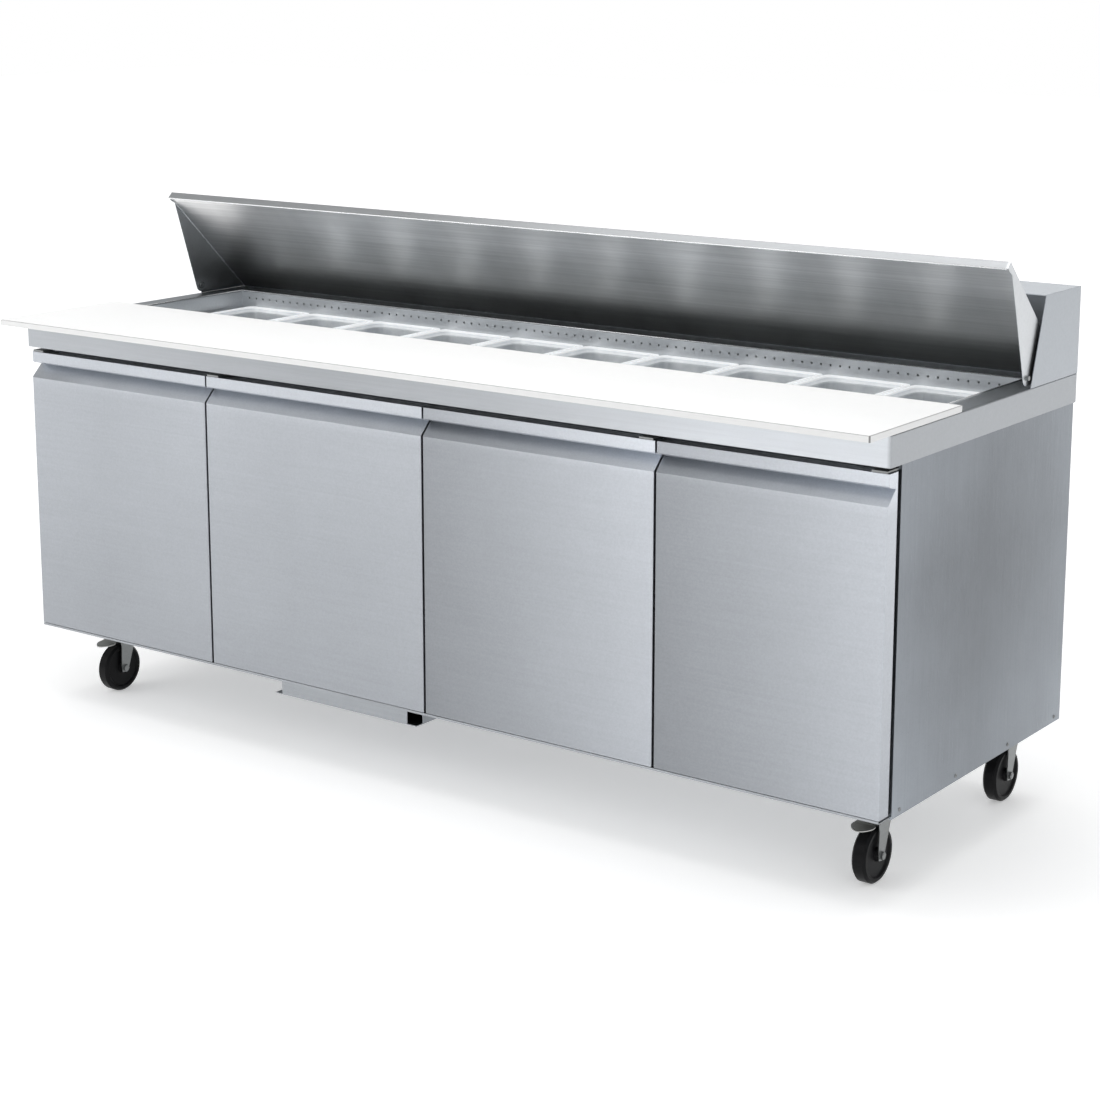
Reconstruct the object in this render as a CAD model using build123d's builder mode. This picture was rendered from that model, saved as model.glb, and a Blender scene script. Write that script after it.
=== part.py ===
from build123d import *
import math
import os

# Refrigerated sandwich prep table, four doors, rear-hinged lid, ten food pans.
# Frame: +X to the right as the user stands at the cutting board, +Y to the
# back, +Z up.  Origin on the floor, under the centre of the outer box.

# ---------------------------------------------------------------- driving sizes
LENGTH = 2362.0          # worktop, end to end
DEPTH = 828.0            # worktop, front to back
BOARD_OVERHANG = 84.0    # board stands in front of the worktop
BOARD_DEPTH = 374.0
BOARD_T = 13.0
HEIGHT_TOP = 936.0       # worktop surface above the base plane
FLOOR_GAP = 165.0        # underside of the cabinet above the base plane
BASE_LIFT = 20.0         # base plane above the floor: the wheels reach this far below it
APRON = 63.0             # height of the worktop's folded edge
SHEET = 1.5

FRONT = -(DEPTH + BOARD_OVERHANG) / 2 + BOARD_OVERHANG   # worktop front edge, y
REAR = FRONT + DEPTH                                     # worktop rear edge, y
HX = LENGTH / 2
ZT = HEIGHT_TOP
ZC = FLOOR_GAP
ZA = ZT - APRON                                          # bottom of the apron

BODY_HX = HX - 5.0       # cabinet body is a little narrower than the worktop
FACE_Y = FRONT + 55.0    # front plane of the cabinet, where gaskets seal
WALL = 48.0              # insulated wall
BODY_REAR = REAR - 2.0

OPEN_HX = 1120.0         # pan opening in the worktop
OPEN_Y0 = FRONT + 304.0
OPEN_Y1 = FRONT + 689.0
WELL_DEPTH = 190.0

PAN_N = 10
PAN_PITCH = 217.0
PAN_W, PAN_L, PAN_DEPTH = 212.0, 375.0, 150.0
PAN_RIM, PAN_T = 8.0, 2.5
RAIL_Z = ZT - 40.0       # rims rest on the rails at this height
PAN_YC = (OPEN_Y0 + OPEN_Y1) / 2

DOOR_X = [-1175.0, -592.0, 50.0, 651.0, 1175.0]   # door boundaries
DOOR_GAP = 5.0
DOOR_Y0 = FRONT + 4.0    # main face of the doors
DOOR_T = 38.0
DOOR_Z0 = ZC + 12.0
DOOR_Z1 = ZT - 76.0      # 13 mm under the apron
GRIP_Z0 = DOOR_Z1 - 63.0  # where the bevel leaves the main face
GRIP_Z1 = DOOR_Z1 - 27.0  # underside of the pull lip
GRIP_D = 30.0            # depth of the finger recess
LIP_IN = 4.0             # the pull lip stands this far behind the main face
GASKET_T = FACE_Y - (DOOR_Y0 + DOOR_T) - 0.4
HINGE_IN, HINGE_BACK = 12.0, 12.0

# lid and its pivot, in the open position
PIV_Y, PIV_Z = FRONT + 592.0, ZT + 22.0
LID_RA, LID_ANG_A = 268.0, 111.0     # pivot to the front edge of the lid
LID_RC, LID_ANG_C = 172.0, -4.0      # pivot to the rear edge of the lid
LID_HX = HX - 7.0
LID_T = 12.0
CORNER_R = 17.0
HOOD_H = 187.0
HOOD_Y0 = FRONT + 598.0
HOOD_Y1 = FRONT + 657.0

WHEEL_R, WHEEL_W = 60.0, 32.0
AXLE_Z = WHEEL_R - BASE_LIFT
CASTER_X = 1078.0
CASTER_YF, CASTER_YR = FRONT + 198.0, FRONT + 784.0
TRAIL = 35.0
CASTER_H = 135.0         # base plane to mounting face

TRAY_X0, TRAY_X1 = -446.0, -22.0
TRAY_Y0 = FRONT + 62.0
TRAY_Z0 = ZC - 50.0
MACH_X0, MACH_X1 = -440.0, -28.0     # machine compartment behind bay 2
MACH_Y0, MACH_Z1 = REAR - 268.0, ZC + 275.0
GLAND_X, GLAND_Z = MACH_X1 - 30.0, ZC + 60.0

os.makedirs("parts", exist_ok=True)


def block(x0, x1, y0, y1, z0, z1, mode=Mode.ADD):
    """A box between two corners, in the block that is open."""
    with Locations(((x0 + x1) / 2, (y0 + y1) / 2, (z0 + z1) / 2)):
        Box(x1 - x0, y1 - y0, z1 - z0, mode=mode)


def save(piece, name):
    """Stand the piece at its height above the floor, name it and write it out."""
    piece = piece.moved(Location((0, 0, BASE_LIFT)))
    piece.label = name
    export_step(piece, f"parts/{name}.step")


# ---------------------------------------------------------------- worktop
# one folded sheet: top, apron all round with a return flange, a drawn-down
# edge round the pan opening
with BuildPart() as worktop:
    block(-HX, HX, FRONT, REAR, ZA, ZT)
    fillet(worktop.edges().filter_by(Axis.Z), radius=3.0)
    fillet(worktop.faces().sort_by(Axis.Z)[-1].edges(), radius=2.5)
    block(-HX + SHEET, HX - SHEET, FRONT + SHEET, REAR - SHEET, ZA - 1, ZT - SHEET, Mode.SUBTRACT)
    # return flange under the front apron
    block(-HX + SHEET, HX - SHEET, FRONT + SHEET, FRONT + 14, ZA, ZA + SHEET)
    block(-OPEN_HX, OPEN_HX, OPEN_Y0, OPEN_Y1, ZT - 10, ZT + 1, Mode.SUBTRACT)
save(worktop.part, "worktop")

# ---------------------------------------------------------------- cutting board
with BuildPart() as cutting_board:
    block(-HX, HX, FRONT - BOARD_OVERHANG, FRONT - BOARD_OVERHANG + BOARD_DEPTH, ZT, ZT + BOARD_T)
    fillet(cutting_board.edges().filter_by(Axis.Z), radius=3.0)
    chamfer(cutting_board.faces().sort_by(Axis.Z)[-1].edges(), length=1.0)
save(cutting_board.part, "cutting_board")

# ---------------------------------------------------------------- outer sides
with BuildPart() as side_panels:
    for s in (-1, 1):
        with BuildSketch(Plane.XY.offset(ZC)) as channel:
            with BuildLine():
                xo = s * BODY_HX
                xi = s * (BODY_HX - 1.2)
                xf = s * (BODY_HX - 26)
                Polyline(
                    (xo, FACE_Y), (xo, BODY_REAR), (xf, BODY_REAR), (xf, BODY_REAR - 1.2),
                    (xi, BODY_REAR - 1.2), (xi, FACE_Y + 1.2), (xf, FACE_Y + 1.2), (xf, FACE_Y),
                    close=True,
                )
            make_face()
        extrude(channel.sketch, amount=ZT - 6 - ZC)
        # return flange along the lower edge
        x0, x1 = sorted((s * (BODY_HX - 1.2), s * (BODY_HX - 22)))
        block(x0, x1, FACE_Y + 1.2, BODY_REAR - 1.2, ZC, ZC + 1.2)
save(side_panels.part, "side_panels")

# ---------------------------------------------------------------- back and base
with BuildPart() as back_panel:
    block(-BODY_HX + 26.5, BODY_HX - 26.5, BODY_REAR - 1.2, BODY_REAR, ZC, ZT - 6)
    block(MACH_X0 + 14, MACH_X1 - 74, BODY_REAR - 3, BODY_REAR + 3, ZC + 16, MACH_Z1 - 16, Mode.SUBTRACT)
    # cord gland hole
    with BuildSketch(Plane.XZ.offset(-BODY_REAR - 3)) as gland_hole:
        with Locations((GLAND_X, GLAND_Z)):
            Circle(11)
    extrude(gland_hole.sketch, amount=8, mode=Mode.SUBTRACT)
save(back_panel.part, "back_panel")

with BuildPart() as base_panel:
    block(-BODY_HX + 22.5, BODY_HX - 22.5, FACE_Y + 1.4, BODY_REAR - 1.7, ZC, ZC + 1.2)
    block(MACH_X0, MACH_X1, MACH_Y0, BODY_REAR + 5, ZC - 2, ZC + 4, Mode.SUBTRACT)
save(base_panel.part, "base_panel")

# ---------------------------------------------------------------- front frame
# head rail, sill and the four door jambs that the gaskets close on
BAY = []
edges_x = [-BODY_HX + WALL] + DOOR_X[1:4] + [BODY_HX - WALL]
for i in range(4):
    lo = edges_x[i] + (0 if i == 0 else 24)
    hi = edges_x[i + 1] - (0 if i == 3 else 24)
    BAY.append((lo, hi))
SILL_Z, HEAD_Z = DOOR_Z0 + 34, DOOR_Z1 - 36
with BuildPart() as front_frame:
    block(-BODY_HX + 26.2, BODY_HX - 26.2, FACE_Y, FACE_Y + 46, HEAD_Z, ZA + 40)
    block(-BODY_HX + 26.2, BODY_HX - 26.2, FACE_Y, FACE_Y + 46, ZC + 1.4, SILL_Z)
    for xm in DOOR_X[1:4]:
        block(xm - 24, xm + 24, FACE_Y, FACE_Y + 46, SILL_Z, HEAD_Z)
    for s in (-1, 1):
        a, b = sorted((s * (BODY_HX - 26.2), s * (BODY_HX - WALL)))
        block(a, b, FACE_Y, FACE_Y + 46, SILL_Z, HEAD_Z)
    fillet(front_frame.edges().filter_by(Axis.Z).filter_by_position(Axis.Z, SILL_Z + 5, HEAD_Z - 5).group_by(Axis.Y)[0], radius=2)
save(front_frame.part, "front_frame")

# ---------------------------------------------------------------- liner and foam
LIN_X = BODY_HX - WALL
LIN_Y0 = FACE_Y + 46.2
LIN_Y1 = BODY_REAR - WALL
LIN_Z0 = ZC + 44
LIN_Z1 = ZT - 14.0
T = 1.0
with BuildPart() as interior_liner:
    block(-LIN_X, MACH_X0 - WALL / 2, LIN_Y0, LIN_Y1, LIN_Z0, LIN_Z0 + T)
    block(MACH_X1 + WALL / 2, LIN_X, LIN_Y0, LIN_Y1, LIN_Z0, LIN_Z0 + T)
    block(MACH_X0 - WALL / 2, MACH_X1 + WALL / 2, LIN_Y0, MACH_Y0 - WALL / 2, LIN_Z0, LIN_Z0 + T)
    block(-LIN_X, -LIN_X + T, LIN_Y0, LIN_Y1, LIN_Z0, LIN_Z1)
    block(LIN_X - T, LIN_X, LIN_Y0, LIN_Y1, LIN_Z0, LIN_Z1)
    block(-LIN_X, MACH_X0 - WALL / 2, LIN_Y1 - T, LIN_Y1, LIN_Z0, LIN_Z1)
    block(MACH_X1 + WALL / 2, LIN_X, LIN_Y1 - T, LIN_Y1, LIN_Z0, LIN_Z1)
    block(MACH_X0 - WALL / 2, MACH_X1 + WALL / 2, LIN_Y1 - T, LIN_Y1, MACH_Z1 + WALL / 2, LIN_Z1)
    # hump over the machine compartment
    mx0, mx1 = MACH_X0 - WALL / 2, MACH_X1 + WALL / 2
    my0, mz1 = MACH_Y0 - WALL / 2, MACH_Z1 + WALL / 2
    block(mx0, mx1, my0, my0 + T, LIN_Z0, mz1)
    block(mx0 - T, mx0, my0, LIN_Y1, LIN_Z0, mz1)
    block(mx1, mx1 + T, my0, LIN_Y1, LIN_Z0, mz1)
    block(mx0 - T, mx1 + T, my0, LIN_Y1, mz1 - T, mz1)
save(interior_liner.part, "interior_liner")

with BuildPart() as insulation:
    g = 0.3
    # floor, in two parts beside the machine compartment and one in front of it
    block(-LIN_X, mx0 - T - g, LIN_Y0, LIN_Y1, ZC + 1.5, LIN_Z0 - g)
    block(mx1 + T + g, LIN_X, LIN_Y0, LIN_Y1, ZC + 1.5, LIN_Z0 - g)
    block(mx0 - T - g, mx1 + T + g, LIN_Y0, my0 - g, ZC + 1.5, LIN_Z0 - g)
    # ends
    for s in (-1, 1):
        a, b = sorted((s * (LIN_X + g), s * (BODY_HX - 1.5)))
        block(a, b, LIN_Y0, LIN_Y1 + g, ZC + 1.5, LIN_Z1)
    # back
    block(-LIN_X, mx0 - T - g, LIN_Y1 + g, BODY_REAR - 1.5, ZC + 1.5, LIN_Z1)
    block(mx1 + T + g, LIN_X, LIN_Y1 + g, BODY_REAR - 1.5, ZC + 1.5, LIN_Z1)
    block(mx0 - T - g, mx1 + T + g, LIN_Y1 + g, BODY_REAR - 1.5, mz1 + g, LIN_Z1)
save(insulation.part, "insulation")

# ---------------------------------------------------------------- pan well
HOLE_PITCH = 24.0
HOLE_N = 92
with BuildPart() as pan_well:
    block(-OPEN_HX, OPEN_HX, OPEN_Y0, OPEN_Y1, ZT - WELL_DEPTH, ZT - SHEET)
    block(-OPEN_HX + 1.2, OPEN_HX - 1.2, OPEN_Y0 + 1.2, OPEN_Y1 - 1.2, ZT - WELL_DEPTH - 1, ZT, Mode.SUBTRACT)
    # air holes along the rear wall, above the pans
    with BuildSketch(Plane.XZ.offset(-OPEN_Y1 - 2)) as air_holes:
        with GridLocations(HOLE_PITCH, 1, HOLE_N, 1):
            with Locations((0, ZT - 17)):
                Circle(2.5)
    extrude(air_holes.sketch, amount=6, mode=Mode.SUBTRACT)
save(pan_well.part, "pan_well")

with BuildPart() as pan_rails:
    # front and rear ledges
    block(-OPEN_HX + 1.4, OPEN_HX - 1.4, OPEN_Y0 + 1.4, OPEN_Y0 + 11, RAIL_Z - 3, RAIL_Z)
    block(-OPEN_HX + 1.4, OPEN_HX - 1.4, OPEN_Y1 - 11, OPEN_Y1 - 1.4, RAIL_Z - 3, RAIL_Z)
    # end plates that fill the margin beside the first and the last pan
    edge = PAN_PITCH * PAN_N / 2
    for s in (-1, 1):
        a, b = sorted((s * (edge - 7), s * (OPEN_HX - 1.4)))
        block(a, b, OPEN_Y0 + 11, OPEN_Y1 - 11, RAIL_Z - 3, RAIL_Z)
    # cross bars
    for i in range(1, PAN_N):
        xb = -edge + i * PAN_PITCH
        block(xb - 7, xb + 7, OPEN_Y0 + 11, OPEN_Y1 - 11, RAIL_Z - 3, RAIL_Z)
        block(xb - 1.5, xb + 1.5, OPEN_Y0 + 11, OPEN_Y1 - 11, RAIL_Z - 12, RAIL_Z - 3)
save(pan_rails.part, "pan_rails")

# ---------------------------------------------------------------- food pans
def food_pan(xc):
    bw, bl = PAN_W - 2 * PAN_RIM, PAN_L - 2 * PAN_RIM
    with BuildPart() as pan:
        with BuildSketch(Plane.XY.offset(RAIL_Z)):
            with Locations((xc, PAN_YC)):
                RectangleRounded(PAN_W, PAN_L, 14)
        extrude(amount=3.0)
        with BuildSketch(Plane.XY.offset(RAIL_Z)):
            with Locations((xc, PAN_YC)):
                RectangleRounded(bw, bl, 26)
        extrude(amount=-PAN_DEPTH, taper=4)
        fillet(pan.faces().sort_by(Axis.Z)[0].edges(), radius=9)
        fillet(pan.faces().sort_by(Axis.Z)[-1].edges(), radius=1.2)
        with BuildSketch(Plane.XY.offset(RAIL_Z + 3.0)):
            with Locations((xc, PAN_YC)):
                RectangleRounded(bw - 2 * PAN_T, bl - 2 * PAN_T, 24)
        extrude(amount=-(PAN_DEPTH + 3.0 - PAN_T), taper=4, mode=Mode.SUBTRACT)
    return pan.part


for i in range(PAN_N):
    xc = (i - (PAN_N - 1) / 2) * PAN_PITCH
    save(food_pan(xc), f"food_pan_{i + 1:02d}")

# ---------------------------------------------------------------- rear hood
with BuildPart() as rear_hood:
    with BuildSketch(Plane.YZ.offset(-HX)):
        with BuildLine():
            Polyline(
                (HOOD_Y0, ZT), (HOOD_Y1, ZT + HOOD_H), (REAR, ZT + HOOD_H), (REAR, ZT), close=True
            )
        make_face()
    extrude(amount=LENGTH)
    top_edges = rear_hood.edges().filter_by(Axis.X).group_by(Axis.Z)[-1]
    fillet(top_edges.sort_by(Axis.Y)[-1], radius=2.5)
    # open at the front and underneath
    with BuildSketch(Plane.YZ.offset(-HX + SHEET)):
        with BuildLine():
            Polyline(
                (HOOD_Y0 - 60, ZT - 1), (HOOD_Y0 - 60, ZT + HOOD_H - 14),
                (HOOD_Y1 + SHEET, ZT + HOOD_H - 14), (HOOD_Y1 + SHEET, ZT + HOOD_H - SHEET),
                (REAR - SHEET, ZT + HOOD_H - SHEET), (REAR - SHEET, ZT - 1), close=True,
            )
        make_face()
    extrude(amount=LENGTH - 2 * SHEET, mode=Mode.SUBTRACT)
    # the front lip turns down only a little, clear of the lid
    block(-HX + SHEET, HX - SHEET, HOOD_Y0 - 60, HOOD_Y1 + 3, ZT - 1, ZT + HOOD_H - 2.5, Mode.SUBTRACT)
save(rear_hood.part, "rear_hood")

# ---------------------------------------------------------------- lid
A = (PIV_Y + LID_RA * math.cos(math.radians(LID_ANG_A)), PIV_Z + LID_RA * math.sin(math.radians(LID_ANG_A)))
C = (PIV_Y + LID_RC * math.cos(math.radians(LID_ANG_C)), PIV_Z + LID_RC * math.sin(math.radians(LID_ANG_C)))
slope = math.atan2(C[1] - A[1], C[0] - A[0])
along = (math.cos(slope), math.sin(slope))
inward = (math.sin(slope), -math.cos(slope))     # from the outer skin to the pans
LONG = math.dist(A, C)


def lid_point(u, v):
    """u along the lid from its front edge, v inward from its outer skin."""
    return (A[0] + along[0] * u + inward[0] * v, A[1] + along[1] * u + inward[1] * v)


with BuildPart() as lid_shell:
    # outer skin with a closed front edge and a closed rear edge
    with BuildSketch(Plane.YZ.offset(-LID_HX)):
        with BuildLine():
            Polyline(
                lid_point(0, 0), lid_point(LONG, 0), lid_point(LONG, LID_T), lid_point(LONG - SHEET, LID_T),
                lid_point(LONG - SHEET, SHEET), lid_point(SHEET, SHEET), lid_point(SHEET, LID_T + 6),
                lid_point(0, LID_T + 6), close=True,
            )
        make_face()
    extrude(amount=2 * LID_HX)
    # cheeks
    with BuildSketch(Plane.YZ.offset(-LID_HX)) as cheek:
        with BuildLine():
            Polyline(A, (PIV_Y, PIV_Z), C, close=True)
        make_face()
        with Locations((PIV_Y, PIV_Z)):
            Circle(CORNER_R)
        # straight free edges, tangent to the rounded pivot corner
        for q, side in ((A, 1), (C, -1)):
            d = math.dist(q, (PIV_Y, PIV_Z))
            base = math.atan2(q[1] - PIV_Z, q[0] - PIV_Y)
            t = base + side * math.acos(CORNER_R / d)
            foot = (PIV_Y + CORNER_R * math.cos(t), PIV_Z + CORNER_R * math.sin(t))
            with BuildLine():
                Polyline((PIV_Y, PIV_Z), foot, q, close=True)
            make_face()
        with Locations((PIV_Y, PIV_Z)):
            Circle(5.08, mode=Mode.SUBTRACT)
    extrude(cheek.sketch, amount=SHEET)
    with BuildSketch(Plane.YZ.offset(LID_HX - SHEET)) as cheek_r:
        add(cheek.sketch_local)
    extrude(cheek_r.sketch, amount=SHEET)
save(lid_shell.part, "lid_shell")

with BuildPart() as lid_core:
    with BuildSketch(Plane.YZ.offset(-LID_HX + SHEET)):
        with BuildLine():
            Polyline(
                lid_point(SHEET, SHEET), lid_point(LONG - SHEET, SHEET),
                lid_point(LONG - SHEET, LID_T - 1.2), lid_point(SHEET, LID_T - 1.2), close=True,
            )
        make_face()
    extrude(amount=2 * LID_HX - 2 * SHEET)
save(lid_core.part, "lid_core")

with BuildPart() as lid_inner_panel:
    with BuildSketch(Plane.YZ.offset(-LID_HX + SHEET)):
        with BuildLine():
            Polyline(
                lid_point(SHEET, LID_T - 1.2), lid_point(LONG - SHEET, LID_T - 1.2),
                lid_point(LONG - SHEET, LID_T), lid_point(SHEET, LID_T), close=True,
            )
        make_face()
    extrude(amount=2 * LID_HX - 2 * SHEET)
save(lid_inner_panel.part, "lid_inner_panel")

# ---------------------------------------------------------------- doors
def door_profile():
    y0, y1 = DOOR_Y0, DOOR_Y0 + DOOR_T
    Polyline(
        (y0, DOOR_Z0), (y0, GRIP_Z0), (y0 + GRIP_D, GRIP_Z1 - 6), (y0 + GRIP_D, GRIP_Z1),
        (y0 + LIP_IN + 3, GRIP_Z1), (y0 + LIP_IN, GRIP_Z1 + 3), (y0 + LIP_IN, DOOR_Z1),
        (y1, DOOR_Z1), (y1, DOOR_Z0), close=True,
    )


def door_shell(x0, x1, hinge):
    """Folded outer skin with the pull running along the top."""
    px = x0 + HINGE_IN if hinge < 0 else x1 - HINGE_IN
    py = DOOR_Y0 + HINGE_BACK
    with BuildPart() as door:
        with BuildSketch(Plane.YZ.offset(x0)):
            with BuildLine():
                door_profile()
            make_face()
        extrude(amount=x1 - x0)
        fillet(door.edges().filter_by(Axis.Z).group_by(Axis.Y)[0], radius=3.0)
        # hollow behind the skin, open at the back where the liner closes it
        with BuildSketch(Plane.YZ.offset(x0 + 1.5)):
            with BuildLine():
                y0, y1 = DOOR_Y0 + 1.5, DOOR_Y0 + DOOR_T + 1
                Polyline(
                    (y0, DOOR_Z0 + 1.5), (y0, GRIP_Z0 - 0.6), (y0 + GRIP_D, GRIP_Z1 - 6.6),
                    (y0 + GRIP_D, GRIP_Z1 + 1.5), (DOOR_Y0 + LIP_IN + 4, GRIP_Z1 + 1.5),
                    (DOOR_Y0 + LIP_IN + 1.5, GRIP_Z1 + 4), (DOOR_Y0 + LIP_IN + 1.5, DOOR_Z1 - 1.5),
                    (y1, DOOR_Z1 - 1.5), (y1, DOOR_Z0 + 1.5), close=True,
                )
            make_face()
        extrude(amount=x1 - x0 - 3, mode=Mode.SUBTRACT)
        # bushes for the hinge pins, welded inside the top and bottom folds
        for z, d in ((DOOR_Z0, 18), (DOOR_Z1, -18)):
            with BuildSketch(Plane.XY.offset(z)) as bush:
                with Locations((px, py)):
                    Circle(7.0)
            extrude(bush.sketch, amount=d)
            with BuildSketch(Plane.XY.offset(z - math.copysign(1, d))) as socket:
                with Locations((px, py)):
                    Circle(4.05)
            extrude(socket.sketch, amount=d + math.copysign(2, d), mode=Mode.SUBTRACT)
    return door.part


def door_liner(x0, x1):
    """Inner pan of the door: flat with a raised rib field and a gasket track."""
    y1 = DOOR_Y0 + DOOR_T
    with BuildPart() as liner:
        block(x0 + 1.6, x1 - 1.6, y1 - 1.5, y1, DOOR_Z0 + 1.6, DOOR_Z1 - 1.6)
        # shallow plinth that stands inside the gasket
        block(x0 + 70, x1 - 70, y1, y1 + 10, DOOR_Z0 + 62, DOOR_Z1 - 62)
        fillet(liner.edges().filter_by(Axis.Y).group_by(Axis.Y)[-1], radius=12)
        fillet(liner.faces().sort_by(Axis.Y)[-1].edges(), radius=4)
    return liner.part


def door_gasket(x0, x1):
    y1 = DOOR_Y0 + DOOR_T
    with BuildPart() as gasket:
        block(x0 + 14, x1 - 14, y1, y1 + GASKET_T, DOOR_Z0 + 8, DOOR_Z1 - 8)
        fillet(gasket.edges().filter_by(Axis.Y), radius=6)
        block(x0 + 34, x1 - 34, y1 - 1, y1 + GASKET_T + 1, DOOR_Z0 + 28, DOOR_Z1 - 28, Mode.SUBTRACT)
        # bellows groove round the outside
        with BuildSketch(Plane.XZ.offset(-(y1 + 5))) as ring:
            with Locations(((x0 + x1) / 2, (DOOR_Z0 + DOOR_Z1) / 2)):
                Rectangle(x1 - x0 - 20, DOOR_Z1 - DOOR_Z0 - 10)
                Rectangle(x1 - x0 - 34, DOOR_Z1 - DOOR_Z0 - 22, mode=Mode.SUBTRACT)
        extrude(ring.sketch, amount=-3, mode=Mode.SUBTRACT)
    return gasket.part


HINGE = [-1, -1, 1, 1]
DOORS = []
for i in range(4):
    x0 = DOOR_X[i] + (0 if i == 0 else DOOR_GAP / 2)
    x1 = DOOR_X[i + 1] - (0 if i == 3 else DOOR_GAP / 2)
    DOORS.append((x0, x1))
    save(door_shell(x0, x1, HINGE[i]), f"door_{i + 1}_shell")
    save(door_liner(x0, x1), f"door_{i + 1}_liner")
    save(door_gasket(x0, x1), f"door_{i + 1}_gasket")

# hinge leaves fixed to the front frame, above and below each door, with pins
with BuildPart() as hinge_brackets:
    for (x0, x1), h in zip(DOORS, HINGE):
        px = x0 + HINGE_IN if h < 0 else x1 - HINGE_IN
        py = DOOR_Y0 + HINGE_BACK
        a, b = (px - 8, px + 26) if h < 0 else (px - 26, px + 8)
        for z0, z1, up in ((DOOR_Z0 - 5.0, DOOR_Z0 - 1.0, 1), (DOOR_Z1 + 1.0, DOOR_Z1 + 5.0, -1)):
            block(a, b, py - 9, FACE_Y, z0, z1)
            # upright leaf against the frame
            zz = (z0 - 6, z1) if up > 0 else (z0, z1 + 8)
            block(a, b, FACE_Y - 3, FACE_Y, zz[0], zz[1])
            zp = z1 if up > 0 else z0
            with BuildSketch(Plane.XY.offset(zp)) as pin:
                with Locations((px, py)):
                    Circle(4.0)
            extrude(pin.sketch, amount=up * 15)
    # pins through the hood's ends, that the lid's cheeks turn on
    for s in (-1, 1):
        with BuildSketch(Plane.YZ.offset(s * (LID_HX - 6))) as lid_pin:
            with Locations((PIV_Y, PIV_Z)):
                Circle(5.0)
        extrude(lid_pin.sketch, amount=s * (HX - LID_HX + 6 - SHEET))
        with BuildSketch(Plane.YZ.offset(s * (LID_HX - 6))) as pin_head:
            with Locations((PIV_Y, PIV_Z)):
                Circle(8.0)
        extrude(pin_head.sketch, amount=s * 3.5)
save(hinge_brackets.part, "hinge_brackets")

# ---------------------------------------------------------------- casters
STEMS = [
    (name, sx * CASTER_X, y)
    for name, sx, y in (
        ("front_left", -1, CASTER_YF), ("front_right", 1, CASTER_YF),
        ("rear_left", -1, CASTER_YR), ("rear_right", 1, CASTER_YR),
    )
]
with BuildPart() as caster_mounts:
    # folded channels across the underside, hollow, one near each end
    for s in (-1, 1):
        a, b = s * (CASTER_X - 55), s * (CASTER_X + 55)
        a, b = min(a, b), max(a, b)
        block(a, b, FACE_Y + 60, BODY_REAR - 4, CASTER_H, ZC)
        block(a + 3, b - 3, FACE_Y + 59, BODY_REAR - 3, CASTER_H + 3, ZC + 1, Mode.SUBTRACT)
    # plates, raceways and stems
    for _, xs, ys in STEMS:
        block(xs - 46, xs + 46, ys - 38, ys + 38, CASTER_H - 4, CASTER_H)
        with Locations((xs, ys, CASTER_H - 4)):
            Cylinder(24, 7, align=(Align.CENTER, Align.CENTER, Align.MAX))
            Cylinder(6, 16, align=(Align.CENTER, Align.CENTER, Align.MAX))
        with Locations((xs, ys, CASTER_H - 17)):
            Cylinder(9, 3, align=(Align.CENTER, Align.CENTER, Align.MAX))
        # bolt heads
        for dx in (-35, 35):
            for dy in (-27, 27):
                with Locations((xs + dx, ys + dy, CASTER_H - 4)):
                    Cylinder(6, 4, align=(Align.CENTER, Align.CENTER, Align.MAX))
save(caster_mounts.part, "caster_mounts")

CROWN_Z1 = CASTER_H - 11.4
CROWN_T = 3.0
LEG_X = 19.0


PEDAL_Y, PEDAL_Z = 39.0, CROWN_Z1 - 6.0


def caster_fork(xs, ys, pedal):
    ya, za = ys - TRAIL, AXLE_Z
    with BuildPart() as fork:
        # crown
        with BuildSketch(Plane.XY.offset(CROWN_Z1 - CROWN_T)):
            with Locations((xs, ys)):
                Circle(27)
            with Locations((xs, ys - 14)):
                Rectangle(2 * LEG_X + 5, 40)
            with Locations((xs, ys)):
                Circle(6.1, mode=Mode.SUBTRACT)
        extrude(amount=CROWN_T)
        # legs
        for s in (-1, 1):
            with BuildSketch(Plane.YZ.offset(xs + s * LEG_X)) as leg:
                with BuildLine():
                    Polyline(
                        (ys + 8, CROWN_Z1), (ys - 43.5, CROWN_Z1), (ys - 43.5, CROWN_Z1 - 12), (ya - 11, za + 12),
                        (ya - 9, za - 10), (ya + 6, za - 12), (ya + 14, za + 2), close=True,
                    )
                make_face()
                with Locations((ya, za)):
                    Circle(5.0, mode=Mode.SUBTRACT)
            extrude(leg.sketch, amount=s * 2.5)
        # stamped rib across the front of the crown
        block(xs - LEG_X, xs + LEG_X, ys - 34, ys - 31.5, CROWN_Z1 - 9, CROWN_Z1 - 1)
        if pedal:
            # cross pin that the brake pedal turns on
            with BuildSketch(Plane.YZ.offset(xs - LEG_X)) as cross_pin:
                with Locations((ys - PEDAL_Y, PEDAL_Z)):
                    Circle(1.5)
            extrude(cross_pin.sketch, amount=2 * LEG_X)
        # axle bolt and nuts
        with BuildSketch(Plane.YZ.offset(xs - LEG_X - 9)) as bolt:
            with Locations((ya, za)):
                Circle(4.9)
        extrude(bolt.sketch, amount=2 * LEG_X + 18)
        for s in (-1, 1):
            with BuildSketch(Plane.YZ.offset(xs + s * (LEG_X + 2.5))) as nut:
                with Locations((ya, za)):
                    RegularPolygon(8.5, 6)
            extrude(nut.sketch, amount=s * 6)
    return fork.part


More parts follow.
